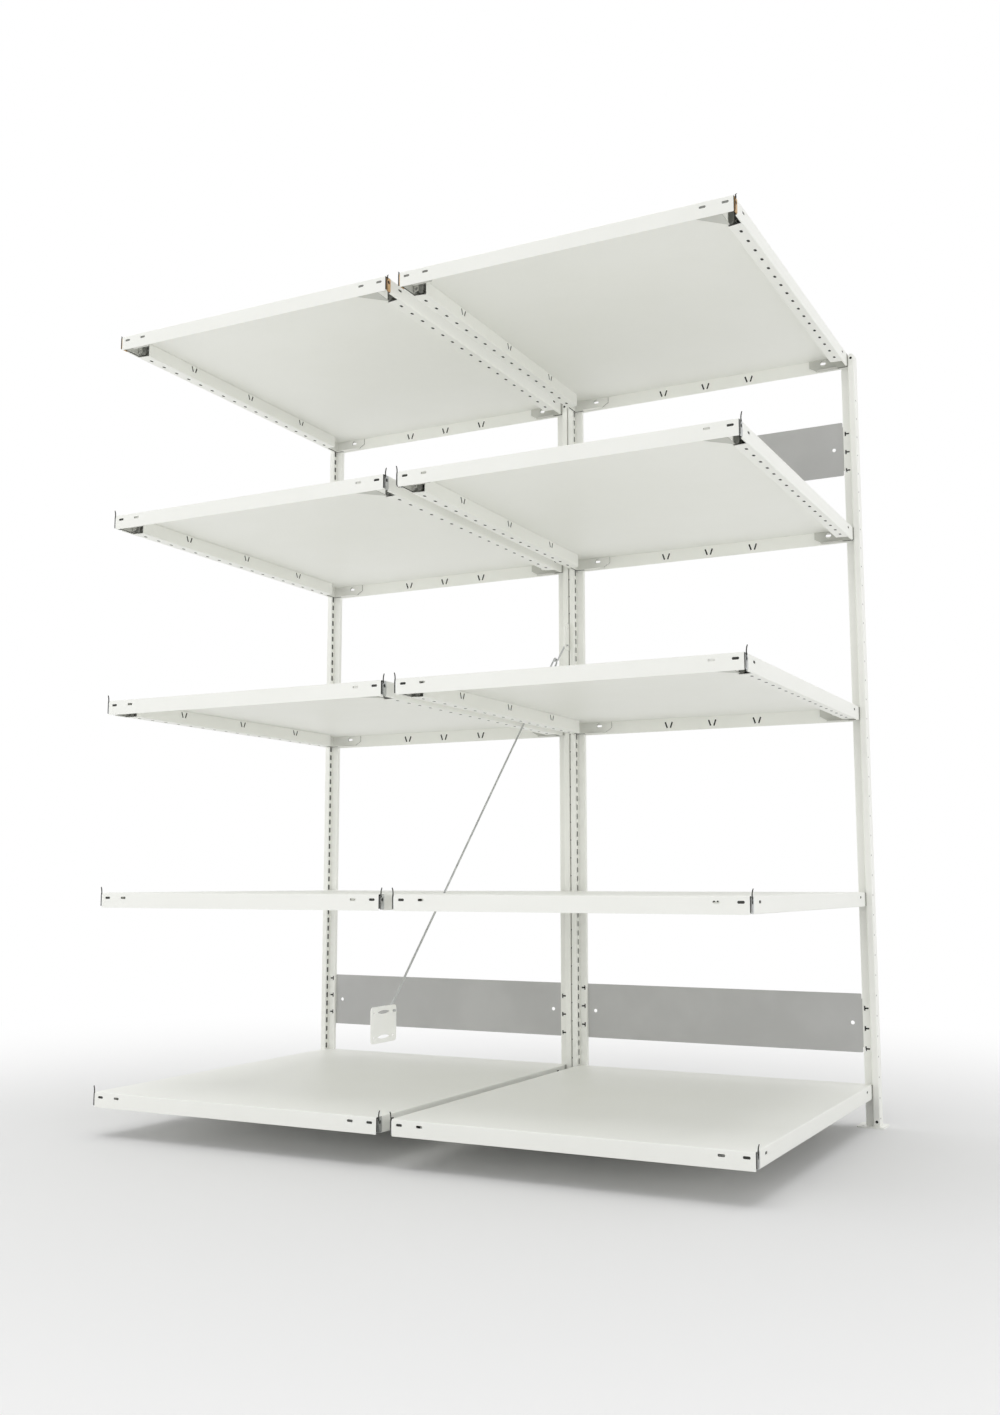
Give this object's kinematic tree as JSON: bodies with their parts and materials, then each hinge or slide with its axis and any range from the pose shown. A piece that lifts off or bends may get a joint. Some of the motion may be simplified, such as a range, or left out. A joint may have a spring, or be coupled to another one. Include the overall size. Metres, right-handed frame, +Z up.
{
  "type": "steel shelving unit",
  "caption": "Wide open-front steel shelving unit: deep pressed trays hooked at their rear corners on slotted uprights, with grey back panels and a diagonal brace rod.",
  "frame": {"origin": "on the floor, in the middle of the unit's length and depth", "axes": "+X along the bays to the right as seen from the open front, +Y from the front to the rear uprights, +Z up"},
  "size_m": [1.694, 1.106, 2.019],
  "materials": {
    "white_enamel": "satin",
    "grey_enamel": "satin",
    "bright_zinc": "zinc plated",
    "yellow_zinc": "yellow zinc plated"
  },
  "bodies": {
    "frame": {"left_upright": "white_enamel", "centre_left_upright": "white_enamel", "centre_right_upright": "white_enamel", "right_upright": "white_enamel", "left_foot_plate": "white_enamel", "centre_left_foot_plate": "white_enamel", "centre_right_foot_plate": "white_enamel", "right_foot_plate": "white_enamel", "left_lower_back_panel": "grey_enamel", "left_upper_back_panel": "grey_enamel", "right_lower_back_panel": "grey_enamel", "right_upper_back_panel": "grey_enamel", "front_brace_plate": "white_enamel", "rear_brace_plate": "white_enamel", "brace_rod": "bright_zinc", "brace_link": "bright_zinc", "upright_joining_1_bolt": "bright_zinc", "upright_joining_1_nut": "bright_zinc", "upright_joining_2_bolt": "bright_zinc", "upright_joining_2_nut": "bright_zinc", "upright_joining_3_bolt": "bright_zinc", "upright_joining_3_nut": "bright_zinc", "brace_plate_1_bolt": "bright_zinc", "brace_plate_1_nut": "bright_zinc", "brace_plate_2_bolt": "bright_zinc", "brace_plate_2_nut": "bright_zinc"},
    "left_shelf_1": {"left_tray_1": "white_enamel", "left_tray_1_rear_left_hook": "bright_zinc", "left_tray_1_rear_right_hook": "bright_zinc"},
    "left_shelf_2": {"left_tray_2": "white_enamel", "left_tray_2_rear_left_hook": "bright_zinc", "left_tray_2_rear_right_hook": "bright_zinc"},
    "left_shelf_3": {"left_tray_3": "white_enamel", "left_tray_3_rear_left_hook": "bright_zinc", "left_tray_3_rear_right_hook": "bright_zinc"},
    "left_shelf_4": {"left_tray_4": "white_enamel", "left_tray_4_rear_left_hook": "bright_zinc", "left_tray_4_rear_right_hook": "bright_zinc"},
    "left_shelf_5": {"left_tray_5": "white_enamel", "left_tray_5_rear_left_hook": "yellow_zinc", "left_tray_5_rear_right_hook": "yellow_zinc"},
    "right_shelf_1": {"right_tray_1": "white_enamel", "right_tray_1_rear_left_hook": "bright_zinc", "right_tray_1_rear_right_hook": "bright_zinc"},
    "right_shelf_2": {"right_tray_2": "white_enamel", "right_tray_2_rear_left_hook": "bright_zinc", "right_tray_2_rear_right_hook": "bright_zinc"},
    "right_shelf_3": {"right_tray_3": "white_enamel", "right_tray_3_rear_left_hook": "bright_zinc", "right_tray_3_rear_right_hook": "bright_zinc"},
    "right_shelf_4": {"right_tray_4": "white_enamel", "right_tray_4_rear_left_hook": "bright_zinc", "right_tray_4_rear_right_hook": "bright_zinc"},
    "right_shelf_5": {"right_tray_5": "white_enamel", "right_tray_5_rear_left_hook": "yellow_zinc", "right_tray_5_rear_right_hook": "yellow_zinc"}
  },
  "joints": [
    {"name": "left_shelf_1_lift", "type": "slide", "parent": "frame", "child": "left_shelf_1", "axis": [0, 0, 1], "range_m": [0, 0.005]},
    {"name": "left_shelf_2_lift", "type": "slide", "parent": "frame", "child": "left_shelf_2", "axis": [0, 0, 1], "range_m": [0, 0.005]},
    {"name": "left_shelf_3_lift", "type": "slide", "parent": "frame", "child": "left_shelf_3", "axis": [0, 0, 1], "range_m": [0, 0.005]},
    {"name": "left_shelf_4_lift", "type": "slide", "parent": "frame", "child": "left_shelf_4", "axis": [0, 0, 1], "range_m": [0, 0.005]},
    {"name": "left_shelf_5_lift", "type": "slide", "parent": "frame", "child": "left_shelf_5", "axis": [0, 0, 1], "range_m": [0, 0.005]},
    {"name": "right_shelf_1_lift", "type": "slide", "parent": "frame", "child": "right_shelf_1", "axis": [0, 0, 1], "range_m": [0, 0.005]},
    {"name": "right_shelf_2_lift", "type": "slide", "parent": "frame", "child": "right_shelf_2", "axis": [0, 0, 1], "range_m": [0, 0.005]},
    {"name": "right_shelf_3_lift", "type": "slide", "parent": "frame", "child": "right_shelf_3", "axis": [0, 0, 1], "range_m": [0, 0.005]},
    {"name": "right_shelf_4_lift", "type": "slide", "parent": "frame", "child": "right_shelf_4", "axis": [0, 0, 1], "range_m": [0, 0.005]},
    {"name": "right_shelf_5_lift", "type": "slide", "parent": "frame", "child": "right_shelf_5", "axis": [0, 0, 1], "range_m": [0, 0.005]}
  ]
}
